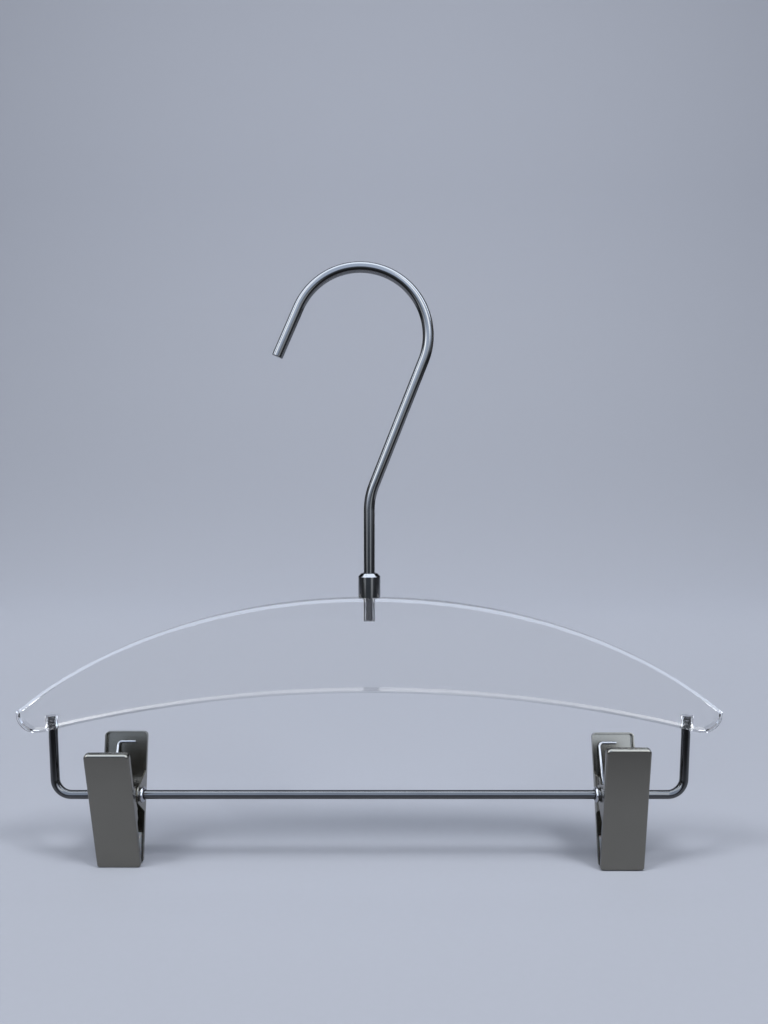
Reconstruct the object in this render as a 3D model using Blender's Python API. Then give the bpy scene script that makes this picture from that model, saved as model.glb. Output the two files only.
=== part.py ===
# Skirt hanger. A clear crescent plate hangs from a swivelling wire hook, and the wire bar
# below the plate carries two sprung sheet-metal clips.
# Metres, +Z up, +X to the right as seen from the front, which faces -Y.
# The origin is the top of the hook's inside curve, where a rail carries the hanger.

from math import acos, asin, atan2, cos, hypot, pi, radians, sin, sqrt, tan

import bmesh
import bpy
from mathutils import Matrix, Vector

# Fits and the fineness of the meshes
GAP = 0.0003
CUT_OVERRUN = 0.004
TURN_SEGMENTS = 32
MERGE_DISTANCE = 1e-7
SHARP_ANGLE = radians(35)

# Hook: bent wire with a straight stem, a leaning leg, a round top and a short mouth
HOOK_WIRE = 0.0055
HOOK_RADIUS = 0.0333
HOOK_STEM_OFFSET = 0.0042
HOOK_LEG_LEAN = radians(21.7)
HOOK_MOUTH_LEAN = radians(23.8)
HOOK_MOUTH_LENGTH = 0.026
HOOK_CORNER_RADIUS = 0.034
HOOK_RISE = 0.1599
NECK_DIAMETER = 0.0030
HEAD_DIAMETER = 0.0041
HEAD_HEIGHT = 0.0016
SHOULDER = 0.0001

# Plate: a crescent below an ellipse and above an arc, with rounded ends and bevelled edges
PLATE_LENGTH = 0.3506
PLATE_MIDDLE_HEIGHT = 0.0469
PLATE_THICKNESS = 0.010
PLATE_TOP_RUN_ON = 0.0497
PLATE_BOTTOM_RADIUS = 0.680
PLATE_END_RADIUS = 0.0097
PLATE_TIP_ANGLE = radians(4)
PLATE_BEVEL = 0.0014
PLATE_CORNER_ANGLE = radians(60)

# Collar, anchor and plug of the hook's swivel
COLLAR_DIAMETER = 0.0110
COLLAR_HEIGHT = 0.0120
COLLAR_CHAMFER = 0.0016
SPIGOT_DIAMETER = 0.0074
SPIGOT_HEIGHT = 0.0040
ANCHOR_DIAMETER = 0.0054
ANCHOR_LENGTH = 0.0066
PLUG_LENGTH = 0.0043
PLUG_FLARE = 0.0002
RIB_COUNT = 6
RIB_DEPTH = 0.0003
RIB_LAND = 0.4

# Bar and the ferrules that hold its ends in the plate
BAR_WIRE = 0.0044
BAR_INSET = 0.0170
BAR_DROP = 0.09935
BAR_BEND_RADIUS = 0.0082
BAR_LEAN = radians(1.6)
FERRULE_DIAMETER = 0.0060
FERRULE_LENGTH = 0.0065
FERRULE_CAP = 0.0008

# Clip jaws: a tapered sheet tray with an outer and a joggled inner ear at the pivot
CLIP_INSET = 0.0323
LEFT_CLIP_SWING = radians(3)
RIGHT_CLIP_SWING = radians(-3)
SHEET = 0.0008
JAW_TOP_WIDTH = 0.0219
JAW_TIP_WIDTH = 0.0218
JAW_LENGTH = 0.0650
JAW_TILT = radians(12.2)
JAW_TIP_OFFSET = 0.0036
JAW_TIP_DROP = 0.0367
JAW_DEPTH = 0.0030
JAW_CORNER = 0.0023
JAW_TIP_CORNER = 0.0009
JAW_LEAST_CORNER = 0.0002
JAW_EDGE_ROUNDING = 0.0012
EAR_RADIUS = 0.0045
EAR_FOOT = 0.010
EAR_SET_IN = 0.00015
JOGGLE_SLOPE = 1.2

# Pivot tube of a clip, with a rolled rim at each end
TUBE_WALL = 0.0003
RIM_DIAMETER = 0.0077
RIM_WIDTH = 0.0020

# Clip spring
SPRING_WIRE = 0.0016
SPRING_FULL_TURNS = 4
SPRING_COIL_GAP = 0.0005
SPRING_CLEARANCE = 0.0004
SPRING_LEG = 0.026
SPRING_TIP = 0.009
SPRING_TIP_BEND = 0.0020
SPRING_TURN_POINTS = 10
LEFT_SPRING_SHIFT = 0.0007
RIGHT_SPRING_SHIFT = -0.0024

# Grip pads
PAD_LENGTH = 0.0124
PAD_BEAD = 0.0044
PAD_RIBS = 5
PAD_RIB_LAND = 0.56
PAD_GROOVE = 0.0005

# Places that follow from the sizes
PLATE_TOP = -HOOK_RISE
BAR_Z = PLATE_TOP - BAR_DROP
UPRIGHT_X = PLATE_LENGTH / 2 - BAR_INSET
CLIP_X = UPRIGHT_X - CLIP_INSET
ANCHOR_BOTTOM = PLATE_TOP - ANCHOR_LENGTH
PLUG_TOP = ANCHOR_BOTTOM - GAP
PLUG_BOTTOM = PLUG_TOP - PLUG_LENGTH
SPIGOT_TOP = PLATE_TOP + GAP + SPIGOT_HEIGHT
STEM_BOTTOM = SPIGOT_TOP + GAP
ANCHOR_HOLE = ANCHOR_DIAMETER + 2 * GAP
FERRULE_HOLE = FERRULE_DIAMETER + 2 * GAP
TUBE_BORE = BAR_WIRE + 2 * GAP
TUBE_DIAMETER = TUBE_BORE + 2 * TUBE_WALL
PIVOT_DEPTH = JAW_TIP_OFFSET * cos(JAW_TILT) + JAW_TIP_DROP * sin(JAW_TILT)
PIVOT_RISE = JAW_TIP_DROP * cos(JAW_TILT) - JAW_TIP_OFFSET * sin(JAW_TILT)
JAW_TAPER = (JAW_TOP_WIDTH - JAW_TIP_WIDTH) / JAW_LENGTH
EAR_OUTSIDE = (JAW_TIP_WIDTH + JAW_TAPER * PIVOT_RISE) / 2 - EAR_SET_IN
EAR_JOGGLE = SHEET + GAP
SPRING_RADIUS = TUBE_DIAMETER / 2 + SPRING_CLEARANCE + SPRING_WIRE / 2
SPRING_PITCH = SPRING_WIRE + SPRING_COIL_GAP


def clear_scene():
    for old in list(bpy.data.objects):
        bpy.data.objects.remove(old)


def surface(name, colour, metallic, roughness, alpha=1.0):
    made = bpy.data.materials.new(name)
    made.use_nodes = True
    shader = made.node_tree.nodes["Principled BSDF"]
    shader.inputs["Base Color"].default_value = (*colour, 1.0)
    shader.inputs["Metallic"].default_value = metallic
    shader.inputs["Roughness"].default_value = roughness
    shader.inputs["Alpha"].default_value = alpha
    return made


def add_object(name, data, material=None):
    made = bpy.data.objects.new(name, data)
    bpy.context.scene.collection.objects.link(made)
    if material:
        data.materials.append(material)
    return made


def mesh_object(name, shape, material=None):
    # Turns a bmesh into an object with smooth round sides and outward faces
    bmesh.ops.remove_doubles(shape, verts=shape.verts, dist=MERGE_DISTANCE)
    bmesh.ops.recalc_face_normals(shape, faces=shape.faces)
    mesh = bpy.data.meshes.new(name)
    shape.to_mesh(mesh)
    shape.free()
    mesh.shade_smooth()
    mesh.set_sharp_from_angle(angle=SHARP_ANGLE)
    return add_object(name, mesh, material)


def guide(made):
    # Marks a cutter or a joined shape that isn't a piece of its own
    made.hide_render = True
    made.display_type = "WIRE"
    return made


def combine(made, other, operation):
    step = made.modifiers.new(operation.title(), "BOOLEAN")
    step.operation = operation
    step.solver = "EXACT"
    step.object = other


def arc(centre, radius, start, end, steps):
    # Points on a circle from one angle to another, both ends included
    return [
        (
            centre[0] + radius * cos(start + (end - start) * i / steps),
            centre[1] + radius * sin(start + (end - start) * i / steps),
        )
        for i in range(steps + 1)
    ]


def turned(profile, segments=TURN_SEGMENTS):
    # Spins a closed profile of (radius, height) points about Z
    shape = bmesh.new()
    corners = [shape.verts.new((radius, 0, height)) for radius, height in profile]
    edges = [
        shape.edges.new((corners[i], corners[(i + 1) % len(corners)]))
        for i in range(len(corners))
        if max(profile[i][0], profile[(i + 1) % len(corners)][0]) > 0
    ]
    bmesh.ops.spin(
        shape, geom=corners + edges, cent=(0, 0, 0), axis=(0, 0, 1),
        dvec=(0, 0, 0), angle=2 * pi, steps=segments, use_merge=True,
    )
    bmesh.ops.remove_doubles(shape, verts=shape.verts, dist=MERGE_DISTANCE)
    return shape


def prism(outline, depth):
    # Extrudes an outline of (x, z) points along Y, centred on Y = 0
    shape = bmesh.new()
    corners = [shape.verts.new((x, -depth / 2, z)) for x, z in outline]
    front = shape.faces.new(corners)
    swept = bmesh.ops.extrude_face_region(shape, geom=[front])["geom"]
    moved = [item for item in swept if isinstance(item, bmesh.types.BMVert)]
    bmesh.ops.translate(shape, verts=moved, vec=(0, depth, 0))
    return shape


def wire(name, points, diameter, material, sides=4, radii=None):
    # A round wire through the points, with flat ends and, where given, its own radii
    curve = bpy.data.curves.new(name, "CURVE")
    curve.dimensions = "3D"
    curve.bevel_depth = diameter / 2
    curve.bevel_resolution = sides
    curve.use_fill_caps = True
    line = curve.splines.new("POLY")
    line.points.add(len(points) - 1)
    for i, (point, place) in enumerate(zip(line.points, points)):
        point.co = (*place, 1.0)
        point.radius = radii[i] if radii else 1.0
    return add_object(name, curve, material)


def cylinder(name, diameter, length, at, turn=None):
    # A cutting cylinder whose axis is Z until it is turned
    shape = bmesh.new()
    bmesh.ops.create_cone(
        shape, cap_ends=True, segments=TURN_SEGMENTS,
        radius1=diameter / 2, radius2=diameter / 2, depth=length,
    )
    made = guide(mesh_object(name, shape))
    made.data.transform(Matrix.Translation(at) @ (turn or Matrix.Identity(4)))
    return made


def ribbed(bottom, top, radius):
    # Outer side of a ribbed sleeve, from the top down: round-topped rings with valleys
    pitch = (top - bottom) / RIB_COUNT
    slope = pitch * (1 - RIB_LAND) / 2
    side = []
    for i in range(RIB_COUNT):
        upper = top - i * pitch
        side.append((radius - RIB_DEPTH, upper))
        side.append((radius, upper - slope))
        side.append((radius, upper + slope - pitch))
    side.append((radius - RIB_DEPTH, bottom))
    return side


def hook_path():
    # Centreline of the hook from the stem's end up to the mouth, as (x, z) points
    stem = HOOK_STEM_OFFSET
    centre = (0.0, -(HOOK_RADIUS - HOOK_WIRE / 2))
    corner_drop = (HOOK_RADIUS - stem * cos(HOOK_LEG_LEAN)) / sin(HOOK_LEG_LEAN)
    corner = centre[1] - corner_drop
    run_in = HOOK_CORNER_RADIUS * tan(HOOK_LEG_LEAN / 2)
    bend_centre = (stem + HOOK_CORNER_RADIUS, corner - run_in)
    points = arc(bend_centre, HOOK_CORNER_RADIUS, pi, pi - HOOK_LEG_LEAN, 6)
    points += arc(centre, HOOK_RADIUS, -HOOK_LEG_LEAN, pi - HOOK_MOUTH_LEAN, 32)
    end = Vector(points[-1])
    way = Vector((-sin(HOOK_MOUTH_LEAN), -cos(HOOK_MOUTH_LEAN)))
    points.append(tuple(end + way * HOOK_MOUTH_LENGTH))
    return points


def build_hook(steel):
    # The stem ends in a thin neck whose riveted head sits below the anchor
    head_top = ANCHOR_BOTTOM - GAP
    head_bottom = head_top - HEAD_HEIGHT
    neck = NECK_DIAMETER / HOOK_WIRE
    head = HEAD_DIAMETER / HOOK_WIRE
    tail = [
        (head_bottom, head), (head_top - SHOULDER, head), (head_top, neck),
        (STEM_BOTTOM, neck), (STEM_BOTTOM + SHOULDER, 1.0),
    ]
    points = [(HOOK_STEM_OFFSET, 0, height) for height, _ in tail]
    points += [(x, 0, z) for x, z in hook_path()]
    radii = [size for _, size in tail]
    radii += [1.0] * (len(points) - len(radii))
    return wire("hook", points, HOOK_WIRE, steel, radii=radii)


def plate_outline():
    # The crescent: the top ellipse from the right tip to the left, the left end, the
    # bottom arc and the right end
    bottom_centre = (0.0, PLATE_TOP - PLATE_MIDDLE_HEIGHT - PLATE_BOTTOM_RADIUS)
    end_x = PLATE_LENGTH / 2 - PLATE_END_RADIUS
    reach = PLATE_BOTTOM_RADIUS + PLATE_END_RADIUS
    end_z = bottom_centre[1] + sqrt(reach ** 2 - end_x ** 2)
    tip_x = end_x + PLATE_END_RADIUS * cos(PLATE_TIP_ANGLE)
    tip_z = end_z + PLATE_END_RADIUS * sin(PLATE_TIP_ANGLE)
    # The ellipse peaks at the plate's top, passes through the tips and would run on past them
    half_width = tip_x + PLATE_TOP_RUN_ON
    start = acos(tip_x / half_width)
    half_height = (PLATE_TOP - tip_z) / (1 - sin(start))
    base = asin(end_x / reach)
    points = []
    for x, z in arc((0, 0), 1, start, pi - start, 48):
        points.append((half_width * x, PLATE_TOP + half_height * (z - 1)))
    points += arc((-end_x, end_z), PLATE_END_RADIUS, pi - PLATE_TIP_ANGLE, 1.5 * pi - base, 9)[1:]
    points += arc(bottom_centre, PLATE_BOTTOM_RADIUS, pi / 2 + base, pi / 2 - base, 30)[1:]
    points += arc((end_x, end_z), PLATE_END_RADIUS, base - pi / 2, PLATE_TIP_ANGLE, 9)[1:-1]
    return [(HOOK_STEM_OFFSET + x, z) for x, z in points]


def plate_bottom_at(x):
    # Height of the plate's lower edge at a distance from the stem's axis
    drop = PLATE_BOTTOM_RADIUS - sqrt(PLATE_BOTTOM_RADIUS ** 2 - x ** 2)
    return PLATE_TOP - PLATE_MIDDLE_HEIGHT - drop


def build_plate(acrylic):
    plate = mesh_object("body_plate", prism(plate_outline(), PLATE_THICKNESS), acrylic)
    bevel = plate.modifiers.new("Bevel", "BEVEL")
    bevel.width = PLATE_BEVEL
    bevel.segments = 1
    bevel.limit_method = "ANGLE"
    bevel.angle_limit = PLATE_CORNER_ANGLE
    top = PLATE_TOP + CUT_OVERRUN
    bottom = PLUG_BOTTOM - GAP
    middle = (HOOK_STEM_OFFSET, 0, (top + bottom) / 2)
    combine(plate, cylinder("cut_anchor_hole", ANCHOR_HOLE, top - bottom, middle), "DIFFERENCE")
    for side, sign in (("left", -1), ("right", 1)):
        top = plate_bottom_at(UPRIGHT_X) + FERRULE_LENGTH + 2 * GAP
        bottom = plate_bottom_at(UPRIGHT_X) - CUT_OVERRUN
        at = (HOOK_STEM_OFFSET + sign * UPRIGHT_X, 0, (top + bottom) / 2)
        cut = cylinder("cut_" + side + "_ferrule_hole", FERRULE_HOLE, top - bottom, at)
        combine(plate, cut, "DIFFERENCE")
    return plate


def build_collar(steel):
    # The collar's counterbore fits over the anchor's spigot, and its bore over the stem
    bottom = PLATE_TOP + GAP
    top = bottom + COLLAR_HEIGHT
    outside = COLLAR_DIAMETER / 2
    bore = HOOK_WIRE / 2 + GAP
    counterbore = SPIGOT_DIAMETER / 2 + GAP
    profile = [
        (bore, top), (outside - COLLAR_CHAMFER, top), (outside, top - COLLAR_CHAMFER),
        (outside, bottom), (counterbore, bottom), (counterbore, STEM_BOTTOM), (bore, STEM_BOTTOM),
    ]
    collar = mesh_object("hook_collar", turned(profile), steel)
    collar.location.x = HOOK_STEM_OFFSET
    return collar


def build_anchor(steel):
    # A ribbed sleeve pressed into the plate, with a spigot that centres the collar
    bore = NECK_DIAMETER / 2 + GAP
    spigot = SPIGOT_DIAMETER / 2
    root = ANCHOR_DIAMETER / 2 - RIB_DEPTH
    profile = [(bore, SPIGOT_TOP), (spigot, SPIGOT_TOP)]
    profile += [(spigot, PLATE_TOP + GAP), (root, PLATE_TOP + GAP)]
    profile += ribbed(ANCHOR_BOTTOM, PLATE_TOP - GAP, ANCHOR_DIAMETER / 2)
    profile.append((bore, ANCHOR_BOTTOM))
    anchor = mesh_object("hook_anchor", turned(profile), steel)
    anchor.location.x = HOOK_STEM_OFFSET
    return anchor


def build_plug(steel):
    # A flared cup below the anchor, which leaves room for the hook's riveted head
    outside = ANCHOR_DIAMETER / 2
    waist = outside - PLUG_FLARE
    chamber = HEAD_DIAMETER / 2 + GAP
    floor = PLUG_TOP - HEAD_HEIGHT - GAP
    profile = [
        (chamber, PLUG_TOP), (waist, PLUG_TOP), (outside, PLUG_BOTTOM + PLUG_FLARE),
        (outside - PLUG_FLARE, PLUG_BOTTOM), (0, PLUG_BOTTOM), (0, floor), (chamber, floor),
    ]
    plug = mesh_object("anchor_plug", turned(profile), steel)
    plug.location.x = HOOK_STEM_OFFSET
    return plug


def build_bar(steel):
    # One wire: from the left ferrule down below the plate, where it leans inwards, along
    # and up into the right ferrule
    top = plate_bottom_at(UPRIGHT_X) + FERRULE_LENGTH - FERRULE_CAP
    foot = plate_bottom_at(UPRIGHT_X) - BAR_WIRE
    bend_z = BAR_Z + BAR_BEND_RADIUS
    leaning = (foot - bend_z) / cos(BAR_LEAN) + BAR_BEND_RADIUS * tan(BAR_LEAN)
    bend_x = UPRIGHT_X - leaning * sin(BAR_LEAN) - BAR_BEND_RADIUS * cos(BAR_LEAN)
    points = [(-UPRIGHT_X, top), (-UPRIGHT_X, foot)]
    points += arc((-bend_x, bend_z), BAR_BEND_RADIUS, pi + BAR_LEAN, 1.5 * pi, 8)
    points += arc((bend_x, bend_z), BAR_BEND_RADIUS, 1.5 * pi, 2 * pi - BAR_LEAN, 8)
    points += [(UPRIGHT_X, foot), (UPRIGHT_X, top)]
    return wire("lower_bar", [(HOOK_STEM_OFFSET + x, 0, z) for x, z in points], BAR_WIRE, steel)


def build_ferrules(steel):
    bottom = plate_bottom_at(UPRIGHT_X) + GAP
    top = bottom + FERRULE_LENGTH
    bore = BAR_WIRE / 2 + GAP
    roof = top - FERRULE_CAP
    profile = [(0, top)]
    profile += ribbed(bottom, top, FERRULE_DIAMETER / 2)
    profile += [(bore, bottom), (bore, roof), (0, roof)]
    for side, sign in (("left", -1), ("right", 1)):
        ferrule = mesh_object(side + "_bar_ferrule", turned(profile), steel)
        ferrule.location.x = HOOK_STEM_OFFSET + sign * UPRIGHT_X


def tray_block(inset, bottom_y, rounding, top_y):
    # A tapered block with rounded corners: its face at bottom_y has a rounded rim.
    # X is the width, Y the depth from the outer face, and Z the height from the tip.
    def ring(y, shrink):
        low = JAW_TIP_WIDTH / 2 - inset - shrink
        high = JAW_TOP_WIDTH / 2 - inset - shrink
        foot = inset + shrink
        head = JAW_LENGTH - inset - shrink
        radius = max(JAW_CORNER - foot, JAW_LEAST_CORNER)
        small = max(JAW_TIP_CORNER - foot, JAW_LEAST_CORNER)
        points = arc((high - radius, head - radius), radius, 0, pi / 2, 4)
        points += arc((-high + radius, head - radius), radius, pi / 2, pi, 4)
        points += arc((-low + small, foot + small), small, pi, 1.5 * pi, 2)
        points += arc((low - small, foot + small), small, 1.5 * pi, 2 * pi, 2)
        return [shape.verts.new((x, y, z)) for x, z in points]

    shape = bmesh.new()
    steps = 3
    rings = [
        ring(
            bottom_y + rounding * (1 - sin(pi / 2 * i / steps)),
            rounding * (1 - cos(pi / 2 * i / steps)),
        )
        for i in range(steps + 1)
    ]
    rings.insert(0, ring(top_y, 0))
    count = len(rings[0])
    for upper, lower in zip(rings, rings[1:]):
        for i in range(count):
            following = (i + 1) % count
            shape.faces.new((upper[i], upper[following], lower[following], lower[i]))
    shape.faces.new(rings[0])
    shape.faces.new(rings[-1])
    return shape


def ear(name, outside, joggle):
    # A sheet ear from the tray's side flange to the round end at the pivot
    foot_y = JAW_DEPTH / 2
    spread = hypot(PIVOT_DEPTH - foot_y, EAR_FOOT)
    lean = atan2(EAR_FOOT, PIVOT_DEPTH - foot_y) + acos(EAR_RADIUS / spread)
    points = arc((PIVOT_DEPTH, PIVOT_RISE), EAR_RADIUS, lean - pi, pi - lean, 14)
    points += [(foot_y, PIVOT_RISE + EAR_FOOT), (foot_y, PIVOT_RISE - EAR_FOOT)]
    shape = bmesh.new()
    shape.faces.new([shape.verts.new((0, y, z)) for y, z in points])
    bend_end = PIVOT_DEPTH - EAR_RADIUS - 2 * GAP
    bend_start = bend_end - joggle * JOGGLE_SLOPE
    if joggle:
        for place in (bend_start, bend_end):
            bmesh.ops.bisect_plane(
                shape, geom=shape.verts[:] + shape.edges[:] + shape.faces[:],
                plane_co=(0, place, 0), plane_no=(0, 1, 0),
            )
        for corner in shape.verts:
            if corner.co.y > bend_end - MERGE_DISTANCE:
                corner.co.x -= joggle
    swept = bmesh.ops.extrude_face_region(shape, geom=shape.faces[:])["geom"]
    moved = [item for item in swept if isinstance(item, bmesh.types.BMVert)]
    thickness = SHEET if outside > 0 else -SHEET
    bmesh.ops.translate(shape, verts=moved, vec=(-thickness, 0, 0))
    bmesh.ops.translate(shape, verts=shape.verts, vec=(outside, 0, 0))
    return guide(mesh_object(name, shape))


def jaw_mesh():
    # The stamping in the clip's frame: pivot axis at the origin, face towards -Y.
    # Its left ear stays outside and its right ear is joggled inwards by one sheet.
    tray = mesh_object("jaw_tray", tray_block(0, 0, JAW_EDGE_ROUNDING, JAW_DEPTH))
    hollow_block = tray_block(SHEET, SHEET, JAW_EDGE_ROUNDING - SHEET, 2 * JAW_DEPTH)
    hollow = mesh_object("jaw_hollow", hollow_block)
    left = ear("jaw_left_ear", -EAR_OUTSIDE, 0)
    right = ear("jaw_right_ear", EAR_OUTSIDE, EAR_JOGGLE)
    across = Matrix.Rotation(pi / 2, 4, "Y")
    hole = TUBE_DIAMETER + 2 * GAP
    pivot = cylinder("jaw_hole", hole, 2 * JAW_TOP_WIDTH, (0, PIVOT_DEPTH, PIVOT_RISE), across)
    combine(tray, hollow, "DIFFERENCE")
    combine(tray, left, "UNION")
    combine(tray, right, "UNION")
    combine(tray, pivot, "DIFFERENCE")
    seen = tray.evaluated_get(bpy.context.evaluated_depsgraph_get())
    mesh = bpy.data.meshes.new_from_object(seen)
    for spent in (tray, hollow, left, right, pivot):
        bpy.data.objects.remove(spent)
    mesh.transform(
        Matrix.Translation((0, -JAW_TIP_OFFSET, -JAW_TIP_DROP)) @ Matrix.Rotation(JAW_TILT, 4, "X")
    )
    mesh.name = "jaw_stamping"
    return mesh


def on_jaw(depth, height):
    # A point of the tray's own frame, as (y, z) in the clip's frame
    y = -JAW_TIP_OFFSET + depth * cos(JAW_TILT) - height * sin(JAW_TILT)
    z = -JAW_TIP_DROP + depth * sin(JAW_TILT) + height * cos(JAW_TILT)
    return y, z


def pad_mesh():
    # A moulded pad on the tray's inner face: a plain bead above and ribs below
    back = SHEET + GAP
    foot = SHEET + GAP
    face = -GAP / 2
    face_depth = (face + JAW_TIP_OFFSET + foot * sin(JAW_TILT)) / cos(JAW_TILT)
    low = on_jaw(face_depth, foot)[1]
    high = low + PAD_LENGTH
    bead = high - PAD_BEAD
    pitch = (bead - low) / PAD_RIBS
    outline = [on_jaw(back, foot), (face, low)]
    for i in range(PAD_RIBS):
        following = low + (i + 1) * pitch
        groove = pitch * (1 - PAD_RIB_LAND)
        outline.append((face, following - groove))
        outline.append((face - PAD_GROOVE, following - groove / 2))
        outline.append((face, following))
    outline += arc((face - PAD_GROOVE, high - PAD_GROOVE), PAD_GROOVE, 0, pi / 2, 3)
    back_height = (high + JAW_TIP_DROP - back * sin(JAW_TILT)) / cos(JAW_TILT)
    outline.append(on_jaw(back, back_height))
    width = JAW_TIP_WIDTH - 2 * (SHEET + GAP)
    shape = prism(outline, width)
    turn = Matrix(((0, 1, 0, 0), (1, 0, 0, 0), (0, 0, 1, 0), (0, 0, 0, 1)))
    bmesh.ops.transform(shape, matrix=turn, verts=shape.verts)
    return shape


def tube_mesh():
    # The pivot tube along X, with both ends rolled into round rims outside the ears
    bore = TUBE_BORE / 2
    outside = TUBE_DIAMETER / 2
    rim_start = EAR_OUTSIDE + GAP
    rim = RIM_WIDTH / 2
    crest = RIM_DIAMETER / 2 - rim
    roll = [(crest + x, rim_start + rim + z) for x, z in arc((0, 0), rim, -pi / 2, pi / 2, 6)]
    upper = [(outside, rim_start)] + roll + [(bore, rim_start + 2 * rim)]
    lower = [(radius, -height) for radius, height in reversed(upper)]
    return turned(upper + lower)


def spring_path(shift):
    # Wire centreline: rear tip and leg, the coil round the pivot tube, front leg and tip.
    # The front half is the rear half turned half round about Z.
    room = PIVOT_DEPTH - SHEET - GAP - SPRING_WIRE / 2
    slant = asin(room / hypot(SPRING_RADIUS, SPRING_LEG)) - atan2(SPRING_RADIUS, SPRING_LEG)
    lean = JAW_TILT + slant
    turns = SPRING_FULL_TURNS + 0.5 + lean / pi
    half_span = SPRING_PITCH * turns / 2
    leg_start = Vector((-half_span, SPRING_RADIUS * cos(lean), -SPRING_RADIUS * sin(lean)))
    leg_way = Vector((0, sin(lean), cos(lean)))
    leg_end = leg_start + leg_way * SPRING_LEG
    aside = Vector((1, 0, 0))
    bend = leg_end - leg_way * SPRING_TIP_BEND + aside * SPRING_TIP_BEND
    rear = [leg_end + aside * SPRING_TIP]
    for i in range(5):
        angle = pi / 2 * i / 4
        rear.append(bend + (leg_way * cos(angle) - aside * sin(angle)) * SPRING_TIP_BEND)
    steps = round(turns * SPRING_TURN_POINTS)
    coil = []
    for i in range(steps + 1):
        angle = -lean - 2 * pi * turns * i / steps
        x = half_span * (2 * i / steps - 1)
        coil.append(Vector((x, SPRING_RADIUS * cos(angle), SPRING_RADIUS * sin(angle))))
    front = [Vector((-point.x, -point.y, point.z)) for point in reversed(rear)]
    return [point + aside * shift for point in rear + coil + front]


def report_spring_gap(name, points):
    # The least distance between stretches of wire more than half a turn apart
    apart = SPRING_TURN_POINTS // 2
    spacing = min(
        (points[i] - points[j]).length
        for i in range(len(points))
        for j in range(i + apart, len(points))
    )
    print(name, "least gap to itself mm", round(1000 * (spacing - SPRING_WIRE), 2))


def build_clip(side, x, swing, shift, steels, rubber, stamping):
    # The clip hangs on an empty on the bar's axis, swung a little about the bar
    pivot = bpy.data.objects.new(side + "_clip_pivot", None)
    bpy.context.scene.collection.objects.link(pivot)
    pivot.location = (HOOK_STEM_OFFSET + x, 0, BAR_Z)
    pivot.rotation_euler.x = swing
    tube = mesh_object(side + "_pivot_tube", tube_mesh(), steels["dark"])
    tube.data.transform(Matrix.Rotation(pi / 2, 4, "Y"))
    tube.parent = pivot
    path = spring_path(shift)
    spring = wire(side + "_spring", path, SPRING_WIRE, steels["bright"], sides=1)
    spring.parent = pivot
    report_spring_gap(side + "_spring", path)
    for place, turn in (("front", 0), ("rear", pi)):
        jaw = bpy.data.objects.new(side + "_" + place + "_jaw", stamping)
        bpy.context.scene.collection.objects.link(jaw)
        jaw.rotation_euler.z = turn
        jaw.parent = pivot
        pad = mesh_object(side + "_" + place + "_pad", pad_mesh(), rubber)
        pad.rotation_euler.z = turn
        pad.parent = pivot


def build_hanger():
    clear_scene()
    steels = {
        "dark": surface("gunmetal", (0.10, 0.10, 0.11), 1.0, 0.18),
        "bright": surface("spring_steel", (0.62, 0.62, 0.64), 1.0, 0.25),
        "sheet": surface("clip_sheet", (0.16, 0.16, 0.16), 1.0, 0.32),
    }
    acrylic = surface("clear_acrylic", (0.93, 0.96, 0.98), 0.0, 0.04, alpha=0.25)
    rubber = surface("pad_rubber", (0.62, 0.66, 0.70), 0.0, 0.5)
    build_hook(steels["dark"])
    build_plate(acrylic)
    build_collar(steels["dark"])
    build_anchor(steels["dark"])
    build_plug(steels["dark"])
    build_bar(steels["dark"])
    build_ferrules(steels["dark"])
    stamping = jaw_mesh()
    stamping.materials.clear()
    stamping.materials.append(steels["sheet"])
    left = (-CLIP_X, LEFT_CLIP_SWING, LEFT_SPRING_SHIFT)
    right = (CLIP_X, RIGHT_CLIP_SWING, RIGHT_SPRING_SHIFT)
    build_clip("left", *left, steels, rubber, stamping)
    build_clip("right", *right, steels, rubber, stamping)


build_hanger()
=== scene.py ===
# Skirt hanger: a clear plate on a swivelling hook, with two sprung clips on a wire bar.
# Metres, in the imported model's frame: +X right, +Y away from the viewer, +Z up.
from math import acos, asin, atan2, cos, hypot, pi, radians, sin, sqrt, tan

import bmesh
import bpy
from mathutils import Matrix, Vector


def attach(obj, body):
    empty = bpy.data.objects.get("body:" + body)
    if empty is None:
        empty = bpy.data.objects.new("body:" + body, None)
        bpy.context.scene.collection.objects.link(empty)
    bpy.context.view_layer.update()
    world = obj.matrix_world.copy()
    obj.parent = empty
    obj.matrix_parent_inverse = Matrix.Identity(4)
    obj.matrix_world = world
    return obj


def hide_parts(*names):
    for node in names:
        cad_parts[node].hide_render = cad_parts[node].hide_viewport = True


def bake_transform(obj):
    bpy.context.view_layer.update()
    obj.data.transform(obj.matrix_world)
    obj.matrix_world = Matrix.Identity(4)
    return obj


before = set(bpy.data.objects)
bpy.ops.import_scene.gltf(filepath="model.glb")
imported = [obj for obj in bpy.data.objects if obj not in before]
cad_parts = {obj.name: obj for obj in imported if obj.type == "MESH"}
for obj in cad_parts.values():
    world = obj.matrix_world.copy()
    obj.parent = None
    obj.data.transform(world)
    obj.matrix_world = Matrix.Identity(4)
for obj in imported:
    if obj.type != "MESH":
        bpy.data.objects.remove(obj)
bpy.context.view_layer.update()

# Places that several pieces share
place = {
    "stemX": 0.0042,
    "plateTop": -0.1599,
    "barZ": -0.25925,
    "uprightX": 0.1583,
    "clipX": {"left": -0.1218, "right": 0.1302},
    "clipSwing": {"left": radians(3), "right": radians(-3)},
    "floorZ": -0.2959,
    "gap": 0.0003,
}


# Small helpers for meshes

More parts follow.
